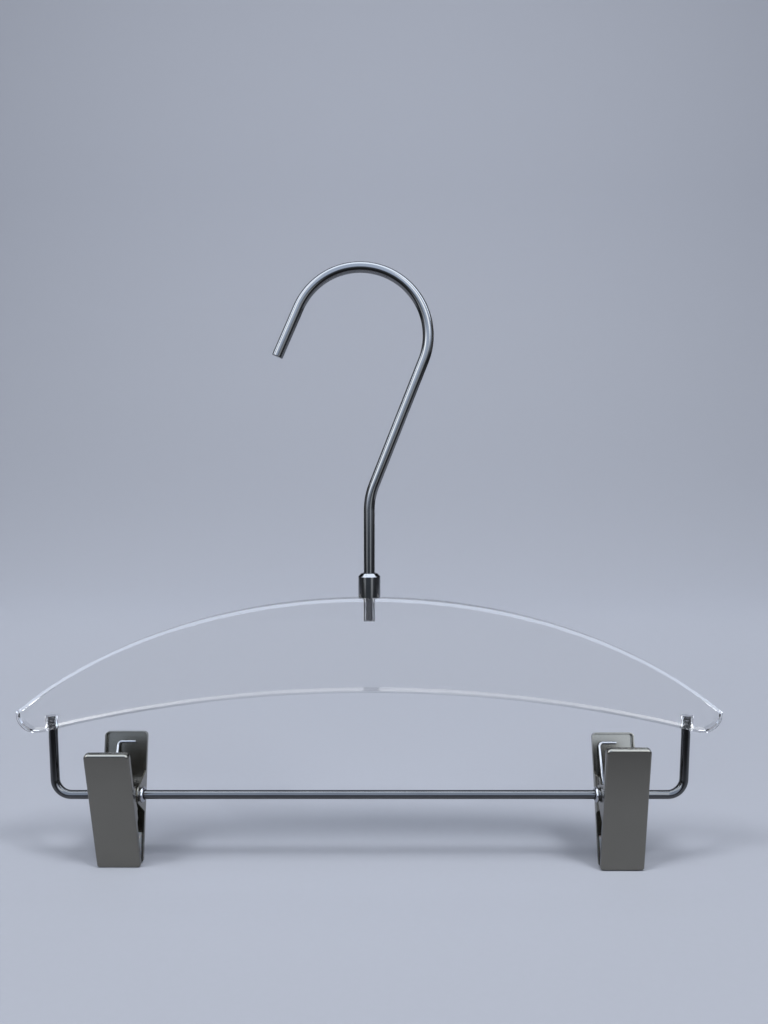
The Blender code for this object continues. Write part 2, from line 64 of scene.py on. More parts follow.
def newPiece(name, shape, material, body, nodes, sharp=None):
    # Turns a bmesh or a mesh into a piece that rides on its body and stands for its nodes
    if isinstance(shape, bmesh.types.BMesh):
        bmesh.ops.remove_doubles(shape, verts=shape.verts, dist=1e-7)
        bmesh.ops.recalc_face_normals(shape, faces=shape.faces)
        mesh = bpy.data.meshes.new(name)
        shape.to_mesh(mesh)
        shape.free()
        mesh.shade_smooth()
        mesh.set_sharp_from_angle(angle=radians(sharp))
    else:
        mesh = shape
        mesh.name = name
    piece = bpy.data.objects.new(name, mesh)
    bpy.context.scene.collection.objects.link(piece)
    mesh.materials.clear()
    mesh.materials.append(material)
    # Wide faces keep their own normals beside narrow roundings
    step = piece.modifiers.new("Weighted", "WEIGHTED_NORMAL")
    step.keep_sharp = True
    seen = piece.evaluated_get(bpy.context.evaluated_depsgraph_get())
    piece.data = bpy.data.meshes.new_from_object(seen)
    piece.data.name = name
    piece.modifiers.clear()
    if body:
        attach(piece, body)
    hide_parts(*nodes)
    return piece


def bakedMesh(shape, modifiers, sharp):
    # Runs modifiers on a bmesh and hands back the mesh, with edges above sharp degrees kept
    mesh = bpy.data.meshes.new("work")
    shape.to_mesh(mesh)
    shape.free()
    mesh.shade_smooth()
    work = bpy.data.objects.new("work", mesh)
    bpy.context.scene.collection.objects.link(work)
    for kind, settings in modifiers:
        step = work.modifiers.new(kind.title(), kind)
        for key, value in settings.items():
            setattr(step, key, value)
    seen = work.evaluated_get(bpy.context.evaluated_depsgraph_get())
    result = bpy.data.meshes.new_from_object(seen)
    bpy.data.objects.remove(work)
    if sharp:
        result.shade_smooth()
        result.set_sharp_from_angle(angle=radians(sharp))
    return result


def drill(diameter, depth, where):
    # The round object that a Boolean cuts a hole with
    shape = bmesh.new()
    bmesh.ops.create_cone(
        shape, cap_ends=True, segments=64, radius1=diameter / 2, radius2=diameter / 2,
        depth=depth,
    )
    bmesh.ops.transform(shape, matrix=where, verts=shape.verts)
    mesh = bpy.data.meshes.new("cutter")
    bmesh.ops.recalc_face_normals(shape, faces=shape.faces)
    shape.to_mesh(mesh)
    shape.free()
    made = bpy.data.objects.new("cutter", mesh)
    bpy.context.scene.collection.objects.link(made)
    return made


def onlyVerts(items):
    return [item for item in items if isinstance(item, bmesh.types.BMVert)]


def onlyEdges(items):
    return [item for item in items if isinstance(item, bmesh.types.BMEdge)]


def pushed(shape, edges, way):
    # Extrudes edges along a vector and hands back the far ones
    grown = bmesh.ops.extrude_edge_only(shape, edges=edges)["geom"]
    bmesh.ops.translate(shape, verts=onlyVerts(grown), vec=way)
    far = set(onlyVerts(grown))
    return [e for e in onlyEdges(grown) if all(v in far for v in e.verts)]


def turned(profile, segments, rounding=0.0, at=(0, 0, 0)):
    # Spins a closed profile of (radius, height) about Z, after rounding its corners
    shape = bmesh.new()
    corners = [shape.verts.new((radius, 0, height)) for radius, height in profile]
    count = len(corners)
    for i in range(count):
        shape.edges.new((corners[i], corners[(i + 1) % count]))
    if rounding:
        free = [corner for corner in corners if corner.co.x > 1e-6]
        shape.faces.new(corners)
        bmesh.ops.bevel(
            shape, geom=free, offset=rounding, segments=2, profile=0.5,
            affect="VERTICES", clamp_overlap=True, material=-1,
        )
        bmesh.ops.delete(shape, geom=shape.faces[:], context="FACES_ONLY")
    axis = [e for e in shape.edges if max(v.co.x for v in e.verts) < 1e-6]
    bmesh.ops.delete(shape, geom=axis, context="EDGES")
    bmesh.ops.spin(
        shape, geom=shape.verts[:] + shape.edges[:], cent=(0, 0, 0), axis=(0, 0, 1),
        dvec=(0, 0, 0), angle=2 * pi, steps=segments, use_merge=True,
    )
    bmesh.ops.remove_doubles(shape, verts=shape.verts, dist=1e-7)
    bmesh.ops.translate(shape, verts=shape.verts, vec=at)
    return shape


def sweptWire(diameter, start, direction, moves, sides, endRound):
    # Pushes a round section along runs and bends in the XZ plane. Each vertex keeps its
    # own place on the section, so that drawing marks can follow the wire.
    shape = bmesh.new()
    around = shape.verts.layers.float_vector.new("section")
    turn = Vector(direction).to_track_quat("Z", "Y").to_matrix().to_4x4()
    ring = bmesh.ops.create_circle(shape, cap_ends=False, segments=sides, radius=diameter / 2)
    for corner in ring["verts"]:
        corner[around] = corner.co.normalized()
    bmesh.ops.transform(shape, matrix=Matrix.Translation(start) @ turn, verts=shape.verts)
    firstRing = edges = shape.edges[:]
    for kind, first, second in moves:
        if kind == "run":
            edges = pushed(shape, edges, first)
        else:
            steps = max(2, round(abs(second) / radians(2.5)))
            swung = bmesh.ops.spin(
                shape, geom=edges, cent=first, axis=(0, 1, 0), dvec=(0, 0, 0),
                angle=second, steps=steps, use_merge=False, use_duplicate=False,
            )["geom_last"]
            edges = onlyEdges(swung)
    caps = []
    for rim in (firstRing, edges):
        caps += bmesh.ops.edgeloop_fill(shape, edges=rim)["faces"]
    rims = {e for cap in caps for e in cap.edges}
    bmesh.ops.bevel(
        shape, geom=list(rims), offset=endRound, segments=3, profile=0.5,
        affect="EDGES", clamp_overlap=True, material=-1,
    )
    return shape


# Materials

def newMaterial(name, values):
    made = bpy.data.materials.new(name)
    made.use_nodes = True
    shader = made.node_tree.nodes["Principled BSDF"]
    for key, value in values.items():
        shader.inputs[key].default_value = value
    return made, made.node_tree, shader


def addNode(tree, kind, **settings):
    made = tree.nodes.new(kind)
    for key, value in settings.items():
        if isinstance(value, bpy.types.NodeSocket):
            tree.links.new(value, made.inputs[key])
        elif key in made.inputs:
            made.inputs[key].default_value = value
        else:
            setattr(made, key, value)
    return made


def numbers(tree, operation, first, second=None):
    made = addNode(tree, "ShaderNodeMath", operation=operation)
    for socket, value in zip(made.inputs, (first, second)):
        if isinstance(value, bpy.types.NodeSocket):
            tree.links.new(value, socket)
        elif value is not None:
            socket.default_value = value
    return made.outputs[0]


def fade(tree, value, low, high):
    # 0 at low, 1 at high, smooth between
    return addNode(
        tree, "ShaderNodeMapRange", interpolation_type="SMOOTHSTEP", Value=value,
        **{"From Min": low, "From Max": high},
    ).outputs["Result"]


def blended(tree, factor, first, second):
    mix = addNode(tree, "ShaderNodeMix", data_type="RGBA")
    tree.links.new(factor, mix.inputs["Factor"])
    for socket, value in zip((s for s in mix.inputs if s.type == "RGBA"), (first, second)):
        if isinstance(value, bpy.types.NodeSocket):
            tree.links.new(value, socket)
        else:
            socket.default_value = (*value, 1)
    return next(socket for socket in mix.outputs if socket.type == "RGBA")


def spread(tree, value, low, high):
    # Maps a 0 to 1 pattern onto a narrow range of numbers
    return addNode(
        tree, "ShaderNodeMapRange", Value=value, **{"To Min": low, "To Max": high}
    ).outputs["Result"]


def worn(tree, shader, pattern, look):
    # Lets one pattern drive both the roughness and the fine relief
    rough = spread(tree, pattern, look["smooth"], look["rough"])
    tree.links.new(rough, shader.inputs["Roughness"])
    bump = addNode(
        tree, "ShaderNodeBump", Height=pattern, Strength=look["bump"],
        Distance=look["bumpDepth"],
    )
    tree.links.new(bump.outputs["Normal"], shader.inputs["Normal"])


def insideGlass(tree, path):
    # 1 for a ray inside the clear plate, else 0. The depth counts whole crossings.
    return numbers(tree, "GREATER_THAN", path["Transmission Depth"], 0.5)


def metal(name, look):
    # Plated metal: cloudy tone, roughness that wanders, and fine marks in the surface
    made, tree, shader = newMaterial(name, {"Metallic": 1.0})
    where = addNode(tree, "ShaderNodeTexCoord").outputs["Object"]
    cloud = addNode(tree, "ShaderNodeTexNoise", Vector=where, Scale=look["cloud"], Detail=4.0)
    tone = blended(tree, cloud.outputs["Fac"], look["dark"], look["light"])
    tree.links.new(tone, shader.inputs["Base Color"])
    if look["marks"] == "drawn":
        section = addNode(tree, "ShaderNodeAttribute", attribute_name="section")
        slow = addNode(tree, "ShaderNodeVectorMath", operation="SCALE", Scale=look["along"])
        tree.links.new(where, slow.inputs[0])
        both = addNode(tree, "ShaderNodeVectorMath", operation="ADD")
        tree.links.new(section.outputs["Vector"], both.inputs[0])
        tree.links.new(slow.outputs["Vector"], both.inputs[1])
        path = both.outputs["Vector"]
    else:
        stretched = addNode(tree, "ShaderNodeMapping", Vector=where, Scale=look["stretch"])
        path = stretched.outputs["Vector"]
    marks = addNode(tree, "ShaderNodeTexNoise", Vector=path, Scale=look["markScale"], Detail=3.0)
    worn(tree, shader, marks.outputs["Fac"], look)
    return made


def acrylicMaterial(name, look):
    # Clear cast sheet. Lamps shine through it, and its faces carry faint wipe marks.
    made, tree, shader = newMaterial(name, {
        "Base Color": look["tint"],
        "IOR": look["ior"],
        "Transmission Weight": 1.0,
    })
    where = addNode(tree, "ShaderNodeTexCoord").outputs["Object"]
    wipe = addNode(tree, "ShaderNodeTexNoise", Vector=where, Scale=look["wipe"], Detail=5.0)
    rough = spread(tree, wipe.outputs["Fac"], look["smooth"], look["rough"])
    tree.links.new(rough, shader.inputs["Roughness"])
    # A ray that has crossed many faces goes straight on, or thin corners would turn black
    path = addNode(tree, "ShaderNodeLightPath").outputs
    tired = numbers(tree, "GREATER_THAN", path["Ray Depth"], look["deepest"])
    shade = blended(tree, path["Is Shadow Ray"], (1, 1, 1), look["shade"])
    clear = addNode(tree, "ShaderNodeBsdfTransparent", Color=shade)
    straight = numbers(tree, "MAXIMUM", path["Is Shadow Ray"], tired)
    mix = addNode(tree, "ShaderNodeMixShader", Fac=straight)
    tree.links.new(shader.outputs["BSDF"], mix.inputs[1])
    tree.links.new(clear.outputs["BSDF"], mix.inputs[2])
    tree.links.new(mix.outputs["Shader"], tree.nodes["Material Output"].inputs["Surface"])
    return made


def rubberMaterial(name, look):
    made, tree, shader = newMaterial(name, {
        "Subsurface Weight": look["milky"],
        "Subsurface Scale": look["milkyDepth"],
    })
    where = addNode(tree, "ShaderNodeTexCoord").outputs["Object"]
    cloud = addNode(tree, "ShaderNodeTexNoise", Vector=where, Scale=look["cloud"], Detail=4.0)
    tone = blended(tree, cloud.outputs["Fac"], look["dark"], look["light"])
    tree.links.new(tone, shader.inputs["Base Color"])
    worn(tree, shader, cloud.outputs["Fac"], look)
    return made


wireLook = {
    "dark": (0.185, 0.185, 0.19), "light": (0.235, 0.235, 0.235), "cloud": 60.0,
    "marks": "drawn", "along": 6.0, "markScale": 9.0,
    "smooth": 0.08, "rough": 0.17, "bump": 0.12, "bumpDepth": 0.00004,
}
# The bar is the hook's gunmetal painted darker: painted shade for the dimmer light that reaches it
# under the plate
shadedBarLook = dict(wireLook, dark=(0.095, 0.096, 0.10), light=(0.125, 0.125, 0.125))
turnedLook = dict(
    wireLook, marks="rings", stretch=(60.0, 60.0, 2500.0), markScale=1.0, bump=0.08,
)
ribbedLook = dict(turnedLook, dark=(0.10, 0.10, 0.105), light=(0.14, 0.14, 0.145))
sheetLook = {
    "dark": (0.205, 0.194, 0.167), "light": (0.235, 0.223, 0.194), "cloud": 45.0,
    "marks": "grain", "stretch": (1.0, 1.0, 1.0), "markScale": 2600.0,
    "smooth": 0.20, "rough": 0.28, "bump": 0.06, "bumpDepth": 0.00002,
}
springLook = dict(
    wireLook, dark=(0.34, 0.34, 0.35), light=(0.44, 0.44, 0.45), smooth=0.12, rough=0.24,
)
rimLook = dict(
    turnedLook, dark=(0.42, 0.42, 0.44), light=(0.52, 0.52, 0.54), smooth=0.18, rough=0.30,
)
acrylicLook = {
    "tint": (1.0, 1.0, 1.0, 1), "ior": 1.49, "shade": (0.48, 0.49, 0.50), "deepest": 5.5,
    "wipe": 35.0, "smooth": 0.0, "rough": 0.012,
}
rubberLook = {
    "dark": (0.30, 0.33, 0.36), "light": (0.42, 0.45, 0.48), "cloud": 900.0,
    "milky": 0.25, "milkyDepth": 0.001,
    "smooth": 0.35, "rough": 0.55, "bump": 0.15, "bumpDepth": 0.00005,
}
finish = {
    "wire": metal("gunmetalWire", wireLook),
    "bar": metal("gunmetalBarPaintedShade", shadedBarLook),
    "turned": metal("gunmetalTurned", turnedLook),
    "ribbed": metal("gunmetalRibbed", ribbedLook),
    "sheet": metal("satinSheet", sheetLook),
    "spring": metal("springSteel", springLook),
    "rim": metal("rolledRim", rimLook),
    "acrylic": acrylicMaterial("clearAcrylic", acrylicLook),
    "rubber": rubberMaterial("padRubber", rubberLook),
}
print("materials ready")


# Hook

hookSizes = {
    "wire": 0.0055, "radius": 0.0333, "legLean": radians(21.7), "mouthLean": radians(23.8),
    "mouthLength": 0.026, "cornerRadius": 0.034, "neck": 0.0030, "head": 0.0041,
    "headHeight": 0.0016, "stemBottom": -0.1553, "headTop": -0.1668,
    "sides": 48, "endRound": 0.0004, "pinSides": 32, "pinRound": 0.0002, "pinOverlap": 0.0002,
}


def makeHook(s):
    stem, lean = place["stemX"], s["legLean"]
    centre = Vector((0, 0, s["wire"] / 2 - s["radius"]))
    drop = (s["radius"] - stem * cos(lean)) / sin(lean)
    corner = centre.z - drop
    runIn = s["cornerRadius"] * tan(lean / 2)
    bendStart = corner - runIn
    cornerEnd = Vector((stem, 0, corner)) + Vector((sin(lean), 0, cos(lean))) * runIn
    arcStart = centre + Vector((cos(lean), 0, -sin(lean))) * s["radius"]
    mouthWay = Vector((-sin(s["mouthLean"]), 0, -cos(s["mouthLean"])))
    moves = [
        ("run", (0, 0, bendStart - s["stemBottom"]), None),
        ("bend", (stem + s["cornerRadius"], 0, bendStart), lean),
        ("run", arcStart - cornerEnd, None),
        ("bend", centre, s["mouthLean"] - lean - pi),
        ("run", mouthWay * s["mouthLength"], None),
    ]
    start = (stem, 0, s["stemBottom"])
    shape = sweptWire(s["wire"], start, (0, 0, 1), moves, s["sides"], s["endRound"])
    # The neck and the riveted head below the anchor
    neck, head = s["neck"] / 2, s["head"] / 2
    neckTop, headBottom = s["stemBottom"] + s["pinOverlap"], s["headTop"] - s["headHeight"]
    pin = turned([
        (0, neckTop), (neck, neckTop), (neck, s["headTop"]),
        (head, s["headTop"]), (head, headBottom), (0, headBottom),
    ], s["pinSides"], s["pinRound"], (stem, 0, 0))
    pinMesh = bpy.data.meshes.new("pin")
    pin.to_mesh(pinMesh)
    pin.free()
    shape.from_mesh(pinMesh)
    newPiece("wireHook", shape, finish["wire"], "hook", ["hook"], 40)


makeHook(hookSizes)
print("hook made")


# Plate

plateSizes = {
    "length": 0.3506, "middleHeight": 0.0469, "thickness": 0.010, "runOn": 0.0497,
    "bottomRadius": 0.680, "endRadius": 0.0097, "tipAngle": radians(4), "bevel": 0.0014,
    "anchorHole": 0.0056, "anchorDepth": 0.0115, "ferruleHole": 0.0062, "ferruleDepth": 0.0069,
    "overrun": 0.004, "tipRoom": 0.0030, "ovalSteps": 1440, "endSteps": 28, "bottomSteps": 240,
}


def plateBottomAt(s, x):
    drop = s["bottomRadius"] - sqrt(s["bottomRadius"] ** 2 - x ** 2)
    return place["plateTop"] - s["middleHeight"] - drop


def makePlate(s):
    top = place["plateTop"]
    bottomCentre = Vector((0, 0, top - s["middleHeight"] - s["bottomRadius"]))
    endX = s["length"] / 2 - s["endRadius"]
    reach = s["bottomRadius"] + s["endRadius"]
    endZ = bottomCentre.z + sqrt(reach ** 2 - endX ** 2)
    tip = Vector((
        endX + s["endRadius"] * cos(s["tipAngle"]), 0, endZ + s["endRadius"] * sin(s["tipAngle"]),
    ))
    halfWidth = tip.x + s["runOn"]
    start = acos(tip.x / halfWidth)
    halfHeight = (top - tip.z) / (1 - sin(start))
    base = asin(endX / reach)
    shape = bmesh.new()
    # The top edge is the part of an ellipse between the tips
    bmesh.ops.create_circle(shape, cap_ends=False, segments=s["ovalSteps"], radius=1)
    upright = Matrix.Rotation(pi / 2, 4, "X") @ Matrix.Diagonal((halfWidth, halfHeight, 1, 1))
    lift = Matrix.Translation((0, 0, top - halfHeight))
    bmesh.ops.transform(shape, matrix=lift @ upright, verts=shape.verts)
    for at, out in (((tip.x, 0, 0), (1, 0, 0)), ((-tip.x, 0, 0), (-1, 0, 0)),
                    ((0, 0, top - halfHeight), (0, 0, -1))):
        bmesh.ops.bisect_plane(
            shape, geom=shape.verts[:] + shape.edges[:], plane_co=at, plane_no=out,
            clear_outer=True,
        )
    # Each end and the bottom edge are arcs swung from a single vertex
    for side in (-1, 1):
        corner = shape.verts.new((side * tip.x, 0, tip.z))
        bmesh.ops.spin(
            shape, geom=[corner], cent=(side * endX, 0, endZ), axis=(0, side, 0),
            dvec=(0, 0, 0), angle=pi / 2 + s["tipAngle"] - base, steps=s["endSteps"],
            use_merge=False,
        )
    low = bottomCentre + Vector((-sin(base), 0, cos(base))) * s["bottomRadius"]
    corner = shape.verts.new(low)
    bmesh.ops.spin(
        shape, geom=[corner], cent=bottomCentre, axis=(0, 1, 0), dvec=(0, 0, 0),
        angle=2 * base, steps=s["bottomSteps"], use_merge=False,
    )
    bmesh.ops.remove_doubles(shape, verts=shape.verts, dist=2e-5)
    # The bevel takes room beside each pointed tip, so no vertex stands there
    tips = [Vector((side * tip.x, 0, tip.z)) for side in (-1, 1)]
    crowded = [
        v for v in shape.verts
        if any(1e-4 < (v.co - t).length < s["tipRoom"] for t in tips)
    ]
    bmesh.ops.dissolve_verts(shape, verts=crowded)
    face = bmesh.ops.contextual_create(shape, geom=shape.edges[:])["faces"]
    bmesh.ops.translate(shape, verts=shape.verts, vec=(place["stemX"], -s["thickness"] / 2, 0))
    swept = bmesh.ops.extrude_face_region(shape, geom=face)["geom"]
    bmesh.ops.translate(shape, verts=onlyVerts(swept), vec=(0, s["thickness"], 0))
    bmesh.ops.recalc_face_normals(shape, faces=shape.faces)
    rims = [e for e in shape.edges if abs(e.verts[0].co.y - e.verts[1].co.y) < 1e-6]
    bmesh.ops.bevel(
        shape, geom=rims, offset=s["bevel"], segments=1, profile=0.5,
        affect="EDGES", material=-1,
    )
    # Blind holes for the anchor and for the two ferrules
    holes = [(0, top - s["anchorDepth"], top + s["overrun"], s["anchorHole"])]
    for side in (-1, 1):
        foot = plateBottomAt(s, place["uprightX"])
        holes.append((
            side * place["uprightX"], foot - s["overrun"], foot + s["ferruleDepth"],
            s["ferruleHole"],
        ))
    modifiers, cutters = [], []
    for x, bottom, upper, diameter in holes:
        middle = Matrix.Translation((place["stemX"] + x, 0, (upper + bottom) / 2))
        cutters.append(drill(diameter, upper - bottom, middle))
        modifiers.append(("BOOLEAN", {"object": cutters[-1], "solver": "EXACT"}))
    mesh = bakedMesh(shape, modifiers, 25)
    for spent in cutters:
        bpy.data.objects.remove(spent)
    newPiece("acrylicPlate", mesh, finish["acrylic"], "hanger", ["body_plate"])


makePlate(plateSizes)
print("plate made")


# Collar, anchor and plug of the swivel

swivelSizes = {
    "collar": 0.0110, "collarHeight": 0.0120, "chamfer": 0.0016, "bore": 0.0061,
    "spigot": 0.0074, "spigotTop": -0.1556, "anchor": 0.0054, "anchorBottom": -0.1665,
    "anchorBore": 0.0036, "plugTop": -0.1668, "plugBottom": -0.1711, "plugFlare": 0.0002,
    "chamber": 0.0047, "chamberFloor": -0.1687, "ribs": 4, "ribDepth": 0.0005,
    "sides": 96, "collarRound": 0.00018, "anchorRound": 0.00007, "plugRound": 0.00008,
}


def ribbedSide(bottom, top, radius, count, depth):
    # Ring after ring, each with a flat land and sloping flanks, from the top down
    pitch = (top - bottom) / count
    side = []
    for i in range(count):
        upper = top - i * pitch
        side += [(radius - depth, upper), (radius, upper - 0.3 * pitch)]
        side += [(radius, upper - 0.7 * pitch)]
    return side + [(radius - depth, bottom)]


def makeSwivel(s):
    stem = (place["stemX"], 0, 0)
    bottom = place["plateTop"] + place["gap"]
    top = bottom + s["collarHeight"]
    outside = s["collar"] / 2
    counter = s["spigot"] / 2 + place["gap"]
    step = s["spigotTop"] + place["gap"]
    shape = turned([
        (s["bore"] / 2, top), (outside - s["chamfer"], top), (outside, top - s["chamfer"]),
        (outside, bottom), (counter, bottom), (counter, step), (s["bore"] / 2, step),
    ], s["sides"], s["collarRound"], stem)
    newPiece("hookCollar", shape, finish["turned"], "hanger", ["hook_collar"], 30)
    bore = s["anchorBore"] / 2
    root = s["anchor"] / 2 - s["ribDepth"]
    profile = [(bore, s["spigotTop"]), (s["spigot"] / 2, s["spigotTop"])]
    profile += [(s["spigot"] / 2, bottom), (root, bottom)]
    profile += ribbedSide(
        s["anchorBottom"], place["plateTop"] - place["gap"], s["anchor"] / 2, s["ribs"],
        s["ribDepth"],
    )
    profile.append((bore, s["anchorBottom"]))
    shape = turned(profile, s["sides"], s["anchorRound"], stem)
    newPiece("hookAnchor", shape, finish["ribbed"], "hanger", ["hook_anchor"], 30)
    wide = s["anchor"] / 2
    waist = wide - s["plugFlare"]
    shape = turned([
        (s["chamber"] / 2, s["plugTop"]), (waist, s["plugTop"]),
        (wide, s["plugBottom"] + s["plugFlare"]), (waist, s["plugBottom"]),
        (0, s["plugBottom"]), (0, s["chamberFloor"]), (s["chamber"] / 2, s["chamberFloor"]),
    ], s["sides"], s["plugRound"], stem)
    newPiece("anchorPlug", shape, finish["ribbed"], "hanger", ["anchor_plug"], 30)


makeSwivel(swivelSizes)
print("swivel made")


# Bar and ferrules

barSizes = {
    "wire": 0.0044, "bend": 0.0082, "lean": radians(1.6), "leanBend": 0.010,
    "ferrule": 0.0060, "ferruleLength": 0.0065, "cap": 0.0008, "ribs": 4, "ribDepth": 0.0005,
    "sides": 40, "endRound": 0.0003, "ferruleSides": 96, "ferruleRound": 0.00007,
}


def makeBar(s):
    foot = plateBottomAt(plateSizes, place["uprightX"])
    top = foot + s["ferruleLength"] - s["cap"]
    left = place["stemX"] - place["uprightX"]
    right = place["stemX"] + place["uprightX"]
    bendZ = place["barZ"] + s["bend"]
    # Below the plate each upright leans inwards after a slight bend
    lean = s["lean"]
    leanZ = foot - s["wire"]
    tangent = s["leanBend"] * tan(lean / 2)
    slope = (leanZ - bendZ) / cos(lean) + s["bend"] * tan(lean)
    inset = slope * sin(lean) + s["bend"] * cos(lean)
    run = slope - tangent
    moves = [
        ("run", (0, 0, leanZ + tangent - top), None),
        ("bend", (left + s["leanBend"], 0, leanZ + tangent), -lean),
        ("run", (run * sin(lean), 0, -run * cos(lean)), None),
        ("bend", (left + inset, 0, bendZ), lean - pi / 2),
        ("run", (right - left - 2 * inset, 0, 0), None),
        ("bend", (right - inset, 0, bendZ), lean - pi / 2),
        ("run", (run * sin(lean), 0, run * cos(lean)), None),
        ("bend", (right - s["leanBend"], 0, leanZ + tangent), -lean),
        ("run", (0, 0, top - leanZ - tangent), None),
    ]
    start = (left, 0, top)
    shape = sweptWire(s["wire"], start, (0, 0, -1), moves, s["sides"], s["endRound"])
    newPiece("lowerBar", shape, finish["bar"], "hanger", ["lower_bar"], 40)
    bottom = foot + place["gap"]
    upper = bottom + s["ferruleLength"]
    bore = s["wire"] / 2 + place["gap"]
    roof = upper - s["cap"]
    for side, x in (("left", left), ("right", right)):
        profile = [(0, upper)]
        profile += ribbedSide(bottom, upper, s["ferrule"] / 2, s["ribs"], s["ribDepth"])
        profile += [(bore, bottom), (bore, roof), (0, roof)]
        shape = turned(profile, s["ferruleSides"], s["ferruleRound"], (x, 0, 0))
        newPiece(
            side + "Ferrule", shape, finish["ribbed"], "hanger", [side + "_bar_ferrule"],
            30,
        )


makeBar(barSizes)
print("bar made")


# Clips

jawSizes = {
    "sheet": 0.0008, "topWidth": 0.0219, "tipWidth": 0.0218, "length": 0.0650,
    "tilt": radians(12.2), "tipOffset": 0.0036, "tipDrop": 0.0367, "depth": 0.0030,
    "corner": 0.0023, "tipCorner": 0.00125, "bend": 0.0011, "earRadius": 0.0045,
    "earFoot": 0.010, "earSetIn": 0.00015, "hole": 0.0062, "fold": 1.2, "foldBend": 0.00045,
    "flank": 0.0085, "earSides": 72, "edgeRound": 0.00014,
}


def pivotPlace(s):
    # How deep and how high the pivot lies in the jaw's own frame
    depth = s["tipOffset"] * cos(s["tilt"]) + s["tipDrop"] * sin(s["tilt"])
    return depth, s["tipDrop"] * cos(s["tilt"]) - s["tipOffset"] * sin(s["tilt"])


pivotDepth, pivotRise = pivotPlace(jawSizes)


def earOutside(s):
    # How far from the middle an ear's outer face stands
    taper = (s["topWidth"] - s["tipWidth"]) / s["length"]
    return (s["tipWidth"] + taper * pivotRise) / 2 - s["earSetIn"]


def cutAcross(shape, faces, at, normal):
    # Adds edges where a plane crosses these faces
    around = {e for f in faces for e in f.edges} | {v for f in faces for v in f.verts}
    bmesh.ops.bisect_plane(shape, geom=faces + list(around), plane_co=at, plane_no=normal)


def jawEar(shape, s, side, rim, joggle):
    # Draws the flange's rim out to the tangent points, then adds the round end
    toFoot = pivotDepth - s["depth"]
    away = hypot(toFoot, s["earFoot"])
    lean = atan2(s["earFoot"], toFoot) + acos(s["earRadius"] / away)
    outside = side * earOutside(s)
    chordY = pivotDepth - s["earRadius"] * cos(lean)
    grown = bmesh.ops.extrude_edge_only(shape, edges=rim)["geom"]
    for corner in onlyVerts(grown):
        up = 1 if corner.co.z > pivotRise else -1
        corner.co = (outside, chordY, pivotRise + up * s["earRadius"] * sin(lean))
    disc = bmesh.ops.create_circle(
        shape, cap_ends=True, segments=s["earSides"], radius=s["earRadius"],
    )
    turn = Matrix.Translation((outside, pivotDepth, pivotRise)) @ Matrix.Rotation(pi / 2, 4, "Y")
    bmesh.ops.transform(shape, matrix=turn, verts=disc["verts"])
    faces = {f for corner in disc["verts"] for f in corner.link_faces}
    edges = {e for corner in disc["verts"] for e in corner.link_edges}
    bmesh.ops.bisect_plane(
        shape, geom=disc["verts"] + list(edges) + list(faces), plane_co=(0, chordY, 0),
        plane_no=(0, -1, 0), clear_outer=True,
    )
    bmesh.ops.remove_doubles(shape, verts=shape.verts, dist=2e-5)
    if not joggle:
        return
    foldEnd = pivotDepth - s["earRadius"] - 2 * place["gap"]
    foldStart = max(foldEnd - joggle * s["fold"], s["depth"] + 0.0002)
    for at in (foldStart, foldEnd):
        near = [
            f for f in shape.faces
            if all(side * v.co.x > s["flank"] for v in f.verts)
            and max(v.co.y for v in f.verts) > s["depth"] + 1e-5
        ]
        cutAcross(shape, near, (0, at, 0), (0, 1, 0))
    beyond = [
        v for v in shape.verts if v.co.y > foldEnd - 1e-6 and side * v.co.x > s["flank"]
    ]
    bmesh.ops.translate(shape, verts=beyond, vec=(-side * joggle, 0, 0))
    folds = [
        e for e in shape.edges
        if all(side * v.co.x > s["flank"] for v in e.verts)
        and any(all(abs(v.co.y - at) < 1e-6 for v in e.verts) for at in (foldStart, foldEnd))
    ]
    bmesh.ops.bevel(
        shape, geom=folds, offset=s["foldBend"], segments=4, profile=0.5, affect="EDGES",
        material=-1,
    )


